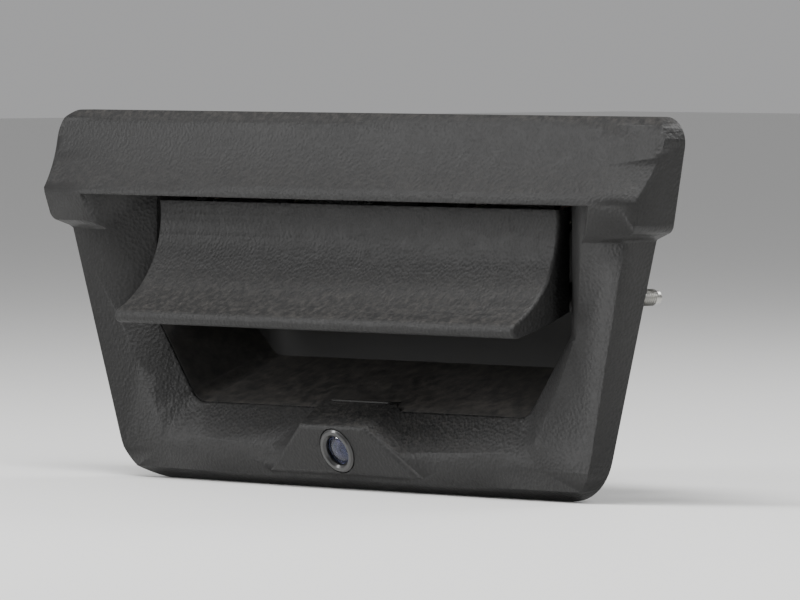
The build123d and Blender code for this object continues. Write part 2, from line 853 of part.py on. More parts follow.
with BuildPart() as camera_front_case:
    with BuildSketch(camera_plane(case_split)):
        RectangleRounded(2 * case_half_w, 2 * case_half_h, radius=2)
    extrude(amount=case_split - case_front)
    with BuildSketch(camera_plane(case_front)):
        Circle(snout_radius)
    extrude(amount=case_front - 2)
    with BuildSketch(camera_plane(case_front + 3)):
        Rectangle(2 * camera_screw_x, 7)
        with Locations(*ear_places):
            Circle(3.5)
    extrude(amount=3)
    with BuildSketch(camera_plane(case_split)):
        RectangleRounded(2 * (case_half_w - case_wall), 2 * (case_half_h - case_wall), radius=1)
    extrude(amount=case_split - case_front - case_wall, mode=Mode.SUBTRACT)
    # Corner posts: ledges for the board, then sleeves for the screws
    with BuildSketch(camera_plane(board_front)):
        with Locations(*corner_places):
            Circle(2.2)
    extrude(amount=board_front - case_front - case_wall)
    with BuildSketch(camera_plane(case_split)):
        with Locations(*corner_places):
            Circle(1.3)
    extrude(amount=case_split - board_front)
    with BuildSketch(camera_plane(case_split)):
        with Locations(*corner_places):
            Circle(case_screw_radius)
    extrude(amount=5, mode=Mode.SUBTRACT)
    with BuildSketch(camera_plane(case_front + 4)):
        Circle(barrel_radius + 0.1)
    extrude(amount=20, mode=Mode.SUBTRACT)
    with BuildSketch(camera_plane(case_front + 4)):
        with Locations(*ear_places):
            Circle(1.3)
    extrude(amount=10, mode=Mode.SUBTRACT)
keep(camera_front_case, "camera_front_case")

with BuildPart() as case_seal:
    with BuildSketch(camera_plane(rear_front)):
        RectangleRounded(2 * case_half_w - 0.4, 2 * case_half_h - 0.4, radius=1.8)
        RectangleRounded(
            2 * (case_half_w - case_wall),
            2 * (case_half_h - case_wall),
            radius=1,
            mode=Mode.SUBTRACT,
        )
        with Locations(*corner_places):
            Circle(1.3)
            Circle(0.75, mode=Mode.SUBTRACT)
    extrude(amount=rear_front - case_split)
keep(case_seal, "case_seal")

with BuildPart() as camera_rear_case:
    with BuildSketch(camera_plane(case_end)):
        RectangleRounded(2 * case_half_w, 2 * case_half_h, radius=2)
    extrude(amount=case_end - rear_front)
    with BuildSketch(camera_plane(case_end - case_wall)):
        RectangleRounded(2 * (case_half_w - case_wall), 2 * (case_half_h - case_wall), radius=1)
    extrude(amount=case_end - case_wall - rear_front, mode=Mode.SUBTRACT)
    with BuildSketch(camera_plane(case_end - case_wall)):
        with Locations(*corner_places):
            Circle(1.6)
    extrude(amount=case_end - case_wall - rear_front)
    with BuildSketch(camera_plane(case_end + 0.5)):
        with Locations(*corner_places):
            Circle(0.75)
    extrude(amount=8, mode=Mode.SUBTRACT)
    # Socket for the plug, with a latch bump on top and a rib each side
    with BuildSketch(camera_plane(socket_end)):
        RectangleRounded(socket_width, socket_height, radius=1.2)
        with Locations((-7, 0), (7, 0)):
            Rectangle(1.6, 3)
    extrude(amount=socket_end - case_end)
    with BuildSketch(camera_plane(socket_end)):
        RectangleRounded(socket_width - 2.6, socket_height - 2.6, radius=0.6)
    extrude(amount=socket_end - case_end, mode=Mode.SUBTRACT)
    with BuildSketch(camera_plane(socket_end - 3)):
        with Locations((0, 5)):
            Rectangle(3.4, 1.4)
    extrude(amount=3)
    with BuildSketch(camera_plane(case_end + 1)):
        with Locations(*pin_places):
            Circle(pin_half)
    extrude(amount=4, mode=Mode.SUBTRACT)
keep(camera_rear_case, "camera_rear_case")

with BuildPart() as lens_ring:
    with BuildSketch(lens_section):
        Polygon(
            (5.6, 0.9),
            (5.6, 2.0),
            (ring_radius, 2.0),
            (ring_radius, 0.7),
            (7.6, 0),
            (6.4, 0),
            align=None,
        )
    revolve(axis=lens_axis)
keep(lens_ring, "lens_ring")

with BuildPart() as lens_window:
    with BuildSketch(lens_section):
        with BuildLine():
            dome = TangentArc((0, 0.6), (5.5, 2.1), tangent=(1, 0))
            Polyline(dome @ 1, (6.8, 2.1), (6.8, 3.0), (4.6, 3.0))
            TangentArc((0, 1.9), (4.6, 3.0), tangent=(1, 0))
            Line((0, 1.9), (0, 0.6))
        make_face()
    revolve(axis=lens_axis)
keep(lens_window, "lens_window")

with BuildPart() as lens_barrel:
    with BuildSketch(lens_section):
        Polygon(
            (5.0, 3.05),
            (6.7, 3.05),
            (6.7, 5.0),
            (6.0, 5.0),
            (6.0, 6.3),
            (barrel_radius, 6.3),
            (barrel_radius, 13.4),
            (4.0, 13.4),
            (4.0, 12.9),
            (5.0, 12.9),
            align=None,
        )
    revolve(axis=lens_axis)
keep(lens_barrel, "lens_barrel")

with BuildPart() as lens_elements:
    for near, far in element_spans:
        with BuildSketch(lens_section):
            with BuildLine():
                TangentArc((0, near), (glass_half, near + 0.6), tangent=(1, 0))
                Line((glass_half, near + 0.6), (glass_half, far - 0.5))
                TangentArc((0, far), (glass_half, far - 0.5), tangent=(1, 0))
                Line((0, far), (0, near))
            make_face()
        revolve(axis=lens_axis)
keep(lens_elements, "lens_elements")

with BuildPart() as lens_o_ring:
    with BuildSketch(lens_section):
        with Locations((6.45, 5.65)):
            Circle(0.45)
    revolve(axis=lens_axis)
keep(lens_o_ring, "lens_o_ring")

with BuildPart() as ir_filter:
    with BuildSketch(camera_plane(filter_front + filter_thick)):
        Circle(glass_half - 0.05)
    extrude(amount=filter_thick)
keep(ir_filter, "ir_filter")

with BuildPart() as image_sensor:
    with BuildSketch(camera_plane(board_front)):
        Rectangle(7.5, 6.5)
    extrude(amount=1.1)
keep(image_sensor, "image_sensor")

with BuildPart() as sensor_board:
    with BuildSketch(camera_plane(board_front + board_thick)):
        Rectangle(15.6, 13.6)
    extrude(amount=board_thick)
    with BuildSketch(camera_plane(board_front + board_thick)):
        with Locations(*pin_places):
            Circle(pin_half)
    extrude(amount=board_thick, mode=Mode.SUBTRACT)
keep(sensor_board, "sensor_board")

with BuildPart() as board_parts:
    with BuildSketch(camera_plane(board_front + board_thick)):
        with Locations((-2.5, 3.8)):
            Rectangle(6, 4.6)
        with Locations((4.6, 4), (-4.6, -4.4), (0.2, -4.8), (5, -4.4)):
            Rectangle(2.6, 1.8)
    extrude(amount=-1.0)
keep(board_parts, "board_parts")

with BuildPart() as connector_pins:
    with BuildSketch(camera_plane(board_front)):
        with Locations(*pin_places):
            Circle(pin_half)
    extrude(amount=-(socket_end - 3 - board_front))
keep(connector_pins, "connector_pins")

with BuildPart() as case_screws:
    with BuildSketch(camera_plane(case_end)):
        with Locations(*corner_places):
            Circle(case_head_radius)
    extrude(amount=-case_head_height)
    with BuildSketch(camera_plane(case_end)):
        with Locations(*corner_places):
            Circle(case_screw_radius)
    extrude(amount=case_end - case_split + 4.5)
keep(case_screws, "case_screws")

with BuildPart() as camera_screws:
    with BuildSketch(camera_plane(case_front + 3)):
        with Locations(*ear_places):
            Circle(camera_head_radius)
    extrude(amount=-screw_head_height)
    with BuildSketch(camera_plane(case_front + 3)):
        with Locations(*ear_places):
            Circle(small_screw_radius)
    extrude(amount=3 + case_front - seat_back + 3.8)
keep(camera_screws, "camera_screws")

with BuildPart() as camera_gasket:
    with BuildSketch(camera_plane(case_front)):
        Circle(10.4)
        Rectangle(30, 2 * case_half_h + 0.7, mode=Mode.INTERSECT)
        Circle(snout_radius, mode=Mode.SUBTRACT)
    extrude(amount=case_front - seat_back)
keep(camera_gasket, "camera_gasket")

for name, piece in parts.items():
    print(name, len(piece.solids()), round(piece.volume, 1))
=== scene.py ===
import json
import math

import bpy
from mathutils import Matrix, Vector

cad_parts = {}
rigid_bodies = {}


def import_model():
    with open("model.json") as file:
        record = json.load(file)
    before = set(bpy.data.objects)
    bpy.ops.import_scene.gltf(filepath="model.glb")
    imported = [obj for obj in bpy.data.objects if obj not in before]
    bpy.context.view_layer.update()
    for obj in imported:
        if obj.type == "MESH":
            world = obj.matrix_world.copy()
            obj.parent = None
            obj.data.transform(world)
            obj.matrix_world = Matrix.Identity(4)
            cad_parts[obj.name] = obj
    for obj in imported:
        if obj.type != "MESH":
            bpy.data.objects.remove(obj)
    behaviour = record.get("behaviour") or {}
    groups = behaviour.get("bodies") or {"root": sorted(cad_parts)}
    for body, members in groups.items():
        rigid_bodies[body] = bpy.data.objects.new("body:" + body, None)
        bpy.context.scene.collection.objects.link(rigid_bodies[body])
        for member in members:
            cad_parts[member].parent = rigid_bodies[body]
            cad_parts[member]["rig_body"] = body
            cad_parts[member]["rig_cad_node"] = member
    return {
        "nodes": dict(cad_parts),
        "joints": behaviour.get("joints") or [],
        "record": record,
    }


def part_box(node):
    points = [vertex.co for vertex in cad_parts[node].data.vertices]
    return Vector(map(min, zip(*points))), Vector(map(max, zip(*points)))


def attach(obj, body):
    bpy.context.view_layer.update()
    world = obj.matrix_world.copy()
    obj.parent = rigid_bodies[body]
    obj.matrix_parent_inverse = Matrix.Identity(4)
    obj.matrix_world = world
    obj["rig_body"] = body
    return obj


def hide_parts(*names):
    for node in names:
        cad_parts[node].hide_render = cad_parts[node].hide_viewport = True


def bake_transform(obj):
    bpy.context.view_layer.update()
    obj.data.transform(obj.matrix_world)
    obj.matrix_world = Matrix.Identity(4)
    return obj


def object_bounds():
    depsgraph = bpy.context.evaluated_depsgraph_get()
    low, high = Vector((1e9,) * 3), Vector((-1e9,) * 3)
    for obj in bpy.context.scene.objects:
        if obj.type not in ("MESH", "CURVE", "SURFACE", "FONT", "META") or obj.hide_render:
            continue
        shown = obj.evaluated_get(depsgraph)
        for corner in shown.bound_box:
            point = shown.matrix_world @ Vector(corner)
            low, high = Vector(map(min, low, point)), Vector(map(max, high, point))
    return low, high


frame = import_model()
nodes = frame["nodes"]
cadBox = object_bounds()
mm = 0.001
cameraTilt = 20  # degrees that the lens looks below level
slotOf = {part["node"]: part["material_slot"] for part in frame["record"]["subparts"]}
bodyOf = {}
for bodyName, members in frame["record"]["behaviour"]["bodies"].items():
    for member in members:
        bodyOf[member] = bodyName
jointOf = {joint["name"]: joint for joint in frame["joints"]}
print("frame loaded:", len(nodes), "nodes")


# Shader building

class Wire:
    # A socket's output, so that masks can be written as sums

    def __init__(self, finish, socket):
        self.finish = finish
        self.socket = socket

    def sum(self, operation, first, second, clamp=False):
        settings = {"operation": operation, "use_clamp": clamp}
        return self.finish.make("ShaderNodeMath", settings, {0: first, 1: second})

    def __add__(self, other):
        return self.sum("ADD", self, other)

    def __radd__(self, other):
        return self.sum("ADD", other, self)

    def __sub__(self, other):
        return self.sum("SUBTRACT", self, other)

    def __rsub__(self, other):
        return self.sum("SUBTRACT", other, self)

    def __mul__(self, other):
        return self.sum("MULTIPLY", self, other)

    def __rmul__(self, other):
        return self.sum("MULTIPLY", other, self)

    def held(self):
        return self.sum("ADD", self, 0.0, clamp=True)


class Finish:
    # One material on a principled shader

    def __init__(self, name, **fixed):
        self.material = bpy.data.materials.new(name)
        self.material.use_nodes = True
        self.tree = self.material.node_tree
        self.shader = self.tree.nodes["Principled BSDF"]
        for key, value in fixed.items():
            self.shader.inputs[key.replace("_", " ")].default_value = value

    def make(self, kind, settings=None, sockets=None, out=0):
        node = self.tree.nodes.new(kind)
        for key, value in (settings or {}).items():
            if key == "stops":
                self.setStops(node.color_ramp, value)
            else:
                setattr(node, key, value)
        for key, value in (sockets or {}).items():
            socket = self.findInput(node, key)
            if isinstance(value, Wire):
                self.tree.links.new(value.socket, socket)
            else:
                socket.default_value = value
        return Wire(self, node.outputs[out])

    def setStops(self, ramp, stops):
        while len(ramp.elements) < len(stops):
            ramp.elements.new(0.5)
        for element, (place, level) in zip(ramp.elements, stops):
            element.position = place
            element.color = (level, level, level, 1)

    def findInput(self, node, key):
        if isinstance(key, int):
            return node.inputs[key]
        for socket in node.inputs:
            if key in (socket.identifier, socket.name):
                return socket
        raise KeyError(key)

    def feed(self, key, wire):
        self.tree.links.new(wire.socket, self.shader.inputs[key])

    def place(self, stretch=(1, 1, 1)):
        spot = self.make("ShaderNodeTexCoord", out="Object")
        if stretch == (1, 1, 1):
            return spot
        return self.make("ShaderNodeMapping", {}, {"Vector": spot, "Scale": stretch})

    def noise(self, scale, detail=3.0, rough=0.5, stretch=(1, 1, 1)):
        sockets = {
            "Vector": self.place(stretch),
            "Scale": scale,
            "Detail": detail,
            "Roughness": rough,
        }
        return self.make("ShaderNodeTexNoise", {}, sockets)

    def cells(self, scale, feature="F1"):
        sockets = {"Vector": self.place(), "Scale": scale}
        return self.make("ShaderNodeTexVoronoi", {"feature": feature}, sockets)

    def ramp(self, wire, *stops):
        return self.make("ShaderNodeValToRGB", {"stops": stops}, {"Fac": wire})

    def blendColour(self, mask, first, second):
        sockets = {"Factor_Float": mask, "A_Color": first, "B_Color": second}
        return self.make("ShaderNodeMix", {"data_type": "RGBA"}, sockets, out=2)

    def roundedNormal(self, radius):
        return self.make("ShaderNodeBevel", {"samples": 6}, {"Radius": radius})

    def edges(self, radius, gain):
        flat = self.make("ShaderNodeNewGeometry", out="Normal")
        sockets = {0: self.roundedNormal(radius), 1: flat}
        same = self.make("ShaderNodeVectorMath", {"operation": "DOT_PRODUCT"}, sockets, "Value")
        return ((1 - same) * gain).held()

    def upward(self):
        flat = self.make("ShaderNodeTexCoord", out="Normal")
        apart = self.make("ShaderNodeSeparateXYZ", {}, {"Vector": flat}, out="Z")
        return self.ramp(apart, (0.35, 0), (0.95, 1))

    def bump(self, height, depth, strength, radius=0.0):
        sockets = {"Height": height, "Distance": depth, "Strength": strength}
        if radius:
            sockets["Normal"] = self.roundedNormal(radius)
        self.feed("Normal", self.make("ShaderNodeBump", {}, sockets))


def tone(level, warmth=0.0):
    return (level * (1 + warmth), level, level * (1 - warmth), 1)


# Finishes

grain = {
    "pitch": 780.0,  # leather cells per metre
    "fine": 3600.0,
    "depth": 0.26 * mm,
    "edgeRadius": 0.7 * mm,
    "roughness": 0.44,
}


def grainedBlack():
    look = Finish("grainedBlack", IOR=1.45, Specular_IOR_Level=0.28)
    fade = look.noise(22, 5, 0.6)
    blotch = look.noise(160, 4, 0.55)
    leather = look.cells(grain["pitch"])
    speck = look.noise(grain["fine"], 2)
    patchy = look.ramp(look.noise(310, 6, 0.7), (0.42, 0), (0.62, 1))
    wear = (look.edges(grain["edgeRadius"], 7.0) * patchy).held()
    dust = look.upward() * look.ramp(look.noise(420, 8, 0.75), (0.45, 0), (0.75, 1)) * 0.35
    base = look.blendColour(fade, tone(0.008), tone(0.017, 0.02))
    base = look.blendColour(leather * 0.30, base, tone(0.026))
    base = look.blendColour(wear * 0.5, base, tone(0.07))
    base = look.blendColour(dust, base, tone(0.11, 0.10))
    look.feed("Base Color", base)
    look.feed("Roughness", grain["roughness"] + blotch * 0.16 - wear * 0.14 + dust * 0.5)
    scratch = look.ramp(look.noise(90, 9, 0.8, (1, 1, 14)), (0.60, 0), (0.66, 1))
    relief = leather * 0.8 + blotch * 0.5 + speck * 0.22 - scratch * 0.12
    look.bump(relief, grain["depth"], 0.9, grain["edgeRadius"])
    return look


def pocketBlack():
    look = Finish("pocketBlack", IOR=1.47, Specular_IOR_Level=0.3)
    cloud = look.noise(35, 5)
    stipple = look.noise(2600, 4, 0.65)
    wear = look.edges(0.6 * mm, 4.0)
    dust = look.upward() * look.ramp(look.noise(240, 8, 0.7), (0.38, 0), (0.72, 1)) * 0.5
    base = look.blendColour(cloud, tone(0.011), tone(0.021, 0.03))
    base = look.blendColour(wear * 0.35, base, tone(0.06))
    base = look.blendColour(dust, base, tone(0.10, 0.12))
    look.feed("Base Color", base)
    look.feed("Roughness", 0.58 + cloud * 0.14 + dust * 0.3)
    look.bump(stipple + cloud * 0.5, 0.05 * mm, 0.6, 0.5 * mm)
    return look


def coreBlack():
    look = Finish("coreBlack", IOR=1.5, Specular_IOR_Level=0.35)
    streaks = look.noise(240, 6, 0.6, (1, 5, 5))
    fibre = look.noise(3600, 3, 0.6, (1, 3, 3))
    base = look.blendColour(streaks, tone(0.022), tone(0.046, 0.02))
    base = look.blendColour(look.edges(0.5 * mm, 4.0) * 0.4, base, tone(0.10))
    look.feed("Base Color", base)
    look.feed("Roughness", 0.42 + streaks * 0.2)
    look.bump(fibre + streaks, 0.04 * mm, 0.5, 0.4 * mm)
    return look


def acetal(name, low, high):
    look = Finish(name, IOR=1.48, Subsurface_Weight=0.08, Subsurface_Scale=0.001)
    cloud = look.noise(300, 5, 0.6)
    grime = look.ramp(look.noise(900, 7, 0.7), (0.5, 0), (0.8, 1)) * 0.4
    base = look.blendColour(cloud, low, high)
    base = look.blendColour(grime, base, tone(0.10, 0.1))
    look.feed("Base Color", base)
    look.feed("Roughness", 0.36 + cloud * 0.16 + grime * 0.3)
    look.bump(look.noise(2400, 3), 0.02 * mm, 0.5, 0.3 * mm)
    return look


def caseBlack():
    look = Finish("caseBlack", IOR=1.52, Coat_Roughness=0.12)
    cloud = look.noise(420, 6, 0.65)
    fine = look.noise(5200, 3)
    wear = look.edges(0.35 * mm, 5.0)
    base = look.blendColour(cloud, tone(0.008), tone(0.018))
    base = look.blendColour(wear * 0.3, base, tone(0.07))
    look.feed("Base Color", base)
    look.feed("Roughness", 0.26 + cloud * 0.14)
    look.feed("Coat Weight", 0.35 - wear * 0.3)
    look.bump(fine, 0.012 * mm, 0.5, 0.3 * mm)
    return look


def zincSteel():
    look = Finish("zincSteel", Anisotropic=0.2)
    cloud = look.noise(260, 7, 0.65)
    brushed = look.noise(1500, 5, 0.7, (1, 1, 9))
    white = look.ramp(look.noise(700, 8, 0.75), (0.58, 0), (0.78, 1))
    wear = look.edges(0.25 * mm, 4.0)
    base = look.blendColour(cloud, (0.30, 0.30, 0.30, 1), (0.50, 0.49, 0.45, 1))
    base = look.blendColour(white * 0.5, base, (0.60, 0.60, 0.58, 1))
    look.feed("Base Color", base)
    look.feed("Metallic", 1 - white * 0.45)
    look.feed("Roughness", 0.24 + brushed * 0.18 + white * 0.25 - wear * 0.08)
    look.bump(brushed + white * 0.6, 0.015 * mm, 0.6, 0.25 * mm)
    return look


def blackSteel():
    look = Finish("blackSteel", IOR=1.5)
    peel = look.noise(900, 3)
    chips = look.ramp(look.edges(0.4 * mm, 6.0) * look.noise(900, 6, 0.7), (0.22, 0), (0.34, 1))
    base = look.blendColour(look.noise(200, 5), tone(0.015), tone(0.03))
    base = look.blendColour(chips, base, tone(0.45))
    look.feed("Base Color", base)
    look.feed("Metallic", chips * 0.95)
    look.feed("Roughness", 0.34 + peel * 0.15)
    look.bump(peel - chips * 0.5, 0.03 * mm, 0.5, 0.3 * mm)
    return look


def springSteel():
    look = Finish("springSteel")
    drawn = look.noise(1300, 6, 0.6, (6, 1, 1))
    rust = look.ramp(look.noise(520, 9, 0.75), (0.62, 0), (0.76, 1))
    base = look.blendColour(drawn, tone(0.20, -0.02), tone(0.36))
    base = look.blendColour(rust * 0.6, base, (0.16, 0.07, 0.03, 1))
    look.feed("Base Color", base)
    look.feed("Metallic", 1 - rust * 0.7)
    look.feed("Roughness", 0.25 + drawn * 0.15 + rust * 0.35)
    look.bump(drawn + rust, 0.012 * mm, 0.6)
    return look


def foam():
    look = Finish("foam", IOR=1.4)
    pores = look.cells(1500)
    big = look.cells(520)
    base = look.blendColour(look.noise(90, 5), tone(0.020), tone(0.042))
    # Pore centres are painted near-black: painted shade in the pits that the bump below sinks
    base = look.blendColour(look.ramp(pores, (0.1, 1), (0.4, 0)) * 0.7, base, tone(0.006))
    look.feed("Base Color", base)
    look.feed("Roughness", 0.88 + pores * 0.1)
    look.bump(pores + big * 0.6, 0.25 * mm, 0.9)
    return look


def blackRubber():
    look = Finish("blackRubber", IOR=1.45)
    bloom = look.ramp(look.noise(600, 7, 0.7), (0.5, 0), (0.8, 1))
    base = look.blendColour(look.noise(200, 4), tone(0.010), tone(0.022))
    base = look.blendColour(bloom * 0.5, base, tone(0.07))
    look.feed("Base Color", base)
    look.feed("Roughness", 0.62 + bloom * 0.2)
    look.bump(look.noise(2500, 4), 0.03 * mm, 0.5, 0.3 * mm)
    return look


def barrelBlack():
    look = Finish("barrelBlack")
    turned = look.noise(2600, 3, 0.6, (1, 6, 6))
    base = look.blendColour(turned, tone(0.02), tone(0.06))
    look.feed("Base Color", base)
    look.feed("Metallic", 0.9 - turned * 0.1)
    look.feed("Roughness", 0.30 + turned * 0.2)
    look.bump(turned, 0.01 * mm, 0.5)
    return look


def lensGlass():
    look = Finish("lensGlass", IOR=1.42, Specular_IOR_Level=0.3, Transmission_Weight=0.98)
    film = look.noise(160, 2, 0.4)
    tint = look.blendColour(film, (0.30, 0.44, 0.62, 1), (0.34, 0.26, 0.55, 1))
    smear = look.ramp(look.noise(700, 8, 0.7), (0.52, 0), (0.8, 1))
    look.feed("Base Color", tint)
    look.feed("Roughness", 0.015 + smear * 0.09)
    return look


def filterGlass():
    look = Finish("filterGlass", IOR=1.5, Transmission_Weight=0.8)
    tint = look.blendColour(look.noise(400), (0.25, 0.75, 0.80, 1), (0.75, 0.30, 0.35, 1))
    look.feed("Base Color", tint)
    look.feed("Roughness", 0.04 + look.noise(900) * 0.05)
    return look


def boardGreen():
    look = Finish("boardGreen", IOR=1.5, Coat_Roughness=0.2)
    track = look.ramp(look.cells(650, "DISTANCE_TO_EDGE"), (0.04, 1), (0.09, 0))
    base = look.blendColour(look.noise(300, 4), (0.010, 0.10, 0.045, 1), (0.018, 0.15, 0.06, 1))
    base = look.blendColour(track * 0.7, base, (0.04, 0.26, 0.11, 1))
    look.feed("Base Color", base)
    look.feed("Roughness", 0.32 + look.noise(800) * 0.15)
    look.feed("Coat Weight", 0.3 + track * 0.2)
    look.bump(track, 0.03 * mm, 0.6)
    return look


def chipBlack():
    look = Finish("chipBlack", IOR=1.5)
    speck = look.noise(5200, 5, 0.7)
    look.feed("Base Color", look.blendColour(speck, tone(0.012), tone(0.045)))
    look.feed("Roughness", 0.45 + speck * 0.25)
    look.bump(speck, 0.02 * mm, 0.7, 0.15 * mm)
    return look


def sensorFace():
    look = Finish("sensorFace", IOR=1.55, Coat_Roughness=0.05)
    bands = look.noise(500, 2, 0.4, (1, 8, 1))
    look.feed("Base Color", look.blendColour(bands, (0.03, 0.02, 0.07, 1), (0.10, 0.05, 0.05, 1)))
    look.feed("Roughness", 0.12 + bands * 0.08)
    look.feed("Coat Weight", 0.7 + bands * 0.3)
    return look


def tinPlate():
    look = Finish("tinPlate")
    cloud = look.noise(900, 5, 0.6)
    look.feed("Base Color", look.blendColour(cloud, (0.60, 0.58, 0.52, 1), (0.80, 0.79, 0.75, 1)))
    look.feed("Metallic", 0.95 + cloud * 0.05)
    look.feed("Roughness", 0.16 + cloud * 0.2)
    look.bump(cloud, 0.01 * mm, 0.5)
    return look


finishes = {
    "grained_black": grainedBlack(),
    "pocket_black": pocketBlack(),
    "core_black": coreBlack(),
    "bush_white": acetal("bushWhite", (0.60, 0.58, 0.50, 1), (0.76, 0.74, 0.68, 1)),
    "clip_green": acetal("clipGreen", (0.008, 0.11, 0.04, 1), (0.02, 0.19, 0.075, 1)),
    "case_black": caseBlack(),
    "zinc_steel": zincSteel(),
    "black_steel": blackSteel(),
    "spring_steel": springSteel(),
    "foam": foam(),
    "black_rubber": blackRubber(),
    "barrel_black": barrelBlack(),
    "lens_glass": lensGlass(),
    "filter_glass": filterGlass(),
    "board_green": boardGreen(),
    "chip_black": chipBlack(),
    "sensor": sensorFace(),
    "pin_tin": tinPlate(),
}


def paint(piece, slotName):
    piece.data.materials.clear()
    piece.data.materials.append(finishes[slotName].material)


for nodeName, node in nodes.items():
    paint(node, slotOf[nodeName])
print("finishes made:", len(finishes))


# Modelling helpers

def deselectAll():
    if bpy.context.object and bpy.context.object.mode != "OBJECT":
        bpy.ops.object.mode_set(mode="OBJECT")
    bpy.ops.object.select_all(action="DESELECT")


def pick(piece):
    deselectAll()
    piece.select_set(True)
    bpy.context.view_layer.objects.active = piece


def pickFaces(piece, rule):
    pick(piece)
    bpy.context.tool_settings.mesh_select_mode = (False, False, True)
    bpy.ops.object.mode_set(mode="EDIT")
    bpy.ops.mesh.select_all(action="DESELECT")
    bpy.ops.object.mode_set(mode="OBJECT")
    for face in piece.data.polygons:
        face.select = rule(face.center, face.normal)
    bpy.ops.object.mode_set(mode="EDIT")


def pickPoints(piece, rule):
    pick(piece)
    bpy.context.tool_settings.mesh_select_mode = (True, False, False)
    bpy.ops.object.mode_set(mode="EDIT")
    bpy.ops.mesh.select_all(action="DESELECT")
    bpy.ops.object.mode_set(mode="OBJECT")
    for point in piece.data.vertices:
        point.select = rule(point.co)
    bpy.ops.object.mode_set(mode="EDIT")


def applyModifiers(piece):
    pick(piece)
    for modifier in list(piece.modifiers):
        bpy.ops.object.modifier_apply(modifier=modifier.name)


def bevelEdges(piece, width, segments=2, angle=32):
    modifier = piece.modifiers.new("edgeRounding", "BEVEL")
    modifier.width = width
    modifier.segments = segments
    modifier.limit_method = "ANGLE"
    modifier.angle_limit = math.radians(angle)
    modifier.use_clamp_overlap = True
    applyModifiers(piece)
    # Corners that the clamp drew together become one point
    bpy.ops.object.mode_set(mode="EDIT")
    bpy.ops.mesh.select_all(action="SELECT")
    bpy.ops.mesh.remove_doubles(threshold=0.002 * mm)
    bpy.ops.mesh.dissolve_degenerate(threshold=0.002 * mm)
    bpy.ops.object.mode_set(mode="OBJECT")


def capEnds(piece):
    # Closes the open ends of a winding and turns its faces outwards
    pick(piece)
    bpy.ops.object.mode_set(mode="EDIT")
    bpy.ops.mesh.select_all(action="SELECT")
    bpy.ops.mesh.fill_holes(sides=0)
    bpy.ops.mesh.select_all(action="SELECT")
    bpy.ops.mesh.normals_make_consistent(inside=False)
    bpy.ops.object.mode_set(mode="OBJECT")


def closeUp(piece, angle=35):
    pick(piece)
    bpy.ops.object.transform_apply(location=True, rotation=True, scale=True)
    bpy.ops.object.shade_smooth_by_angle(angle=math.radians(angle))


def moveTo(piece, origin, along):
    # Turns a piece modelled along +Z to lie along a direction, and puts it in place
    turn = Vector((0, 0, 1)).rotation_difference(Vector(along))
    piece.data.transform(Matrix.Translation(origin) @ turn.to_matrix().to_4x4())


def copyOf(piece, name):
    pick(piece)
    bpy.ops.object.duplicate()
    other = bpy.context.object
    other.name = name
    return other


def upright(radius, low, high, vertices=48):
    # A cylinder on the Z axis, between two heights
    deselectAll()
    bpy.ops.mesh.primitive_cylinder_add(
        vertices=vertices,
        radius=radius,
        depth=high - low,
        location=(0, 0, (low + high) / 2),
    )
    bpy.ops.object.transform_apply(location=True)
    return bpy.context.object


def joinAll(pieces, name):
    deselectAll()
    for piece in pieces:
        piece.select_set(True)
    bpy.context.view_layer.objects.active = pieces[0]
    if len(pieces) > 1:
        bpy.ops.object.join()
    pieces[0].name = name
    return pieces[0]


def settle(piece, nodeName, slotName=None):
    slotName = slotName or slotOf[nodeName]
    paint(piece, slotName)
    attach(piece, bodyOf[nodeName])


def solidBoxes(nodeName):
    # Lowest and highest corner of each separate solid in a node
    copyOf(nodes[nodeName], "spare")
    bpy.ops.object.mode_set(mode="EDIT")
    bpy.ops.mesh.select_all(action="SELECT")
    bpy.ops.mesh.remove_doubles(threshold=0.01 * mm)
    bpy.ops.mesh.separate(type="LOOSE")
    bpy.ops.object.mode_set(mode="OBJECT")
    boxes = []
    for lump in list(bpy.context.selected_objects):
        points = [point.co for point in lump.data.vertices]
        low = Vector(min(point[axis] for point in points) for axis in range(3))
        high = Vector(max(point[axis] for point in points) for axis in range(3))
        boxes.append((low, high))
        bpy.data.objects.remove(lump)
    return sorted(boxes, key=lambda pair: tuple(pair[0]))


# Moulded and pressed pieces: the CAD shape with its edges broken

brokenEdges = {
    "bezel": 0.55 * mm,
    "paddle_cover": 0.45 * mm,
    "pocket_chassis": 0.40 * mm,
    "paddle_core": 0.35 * mm,
    "seal_gasket": 0.70 * mm,
    "crank_plate": 0.22 * mm,
    "crank_bracket": 0.22 * mm,
    "crank_rivet": 0.35 * mm,
    "crank_drive_pin": 0.25 * mm,
    "rod_clip_left": 0.30 * mm,
    "rod_clip_right": 0.30 * mm,
    "camera_rear_case": 0.25 * mm,
    "paddle_bumpers": 0.30 * mm,
}


def breakEdges(nodeName, width):
    piece = copyOf(nodes[nodeName], nodeName + "Shell")
    piece.parent = None
    piece.matrix_world = Matrix.Identity(4)
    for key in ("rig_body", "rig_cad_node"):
        del piece[key]
    bpy.ops.object.mode_set(mode="EDIT")
    bpy.ops.mesh.select_all(action="SELECT")
    bpy.ops.mesh.remove_doubles(threshold=0.004 * mm)
    bpy.ops.mesh.dissolve_limited(angle_limit=math.radians(0.4))
    bpy.ops.object.mode_set(mode="OBJECT")
    bevelEdges(piece, width)
    closeUp(piece)
    settle(piece, nodeName)
    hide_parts(nodeName)


for nodeName, width in brokenEdges.items():
    breakEdges(nodeName, width)
print("moulded pieces finished:", len(brokenEdges))


# Screws with a six-lobed recess

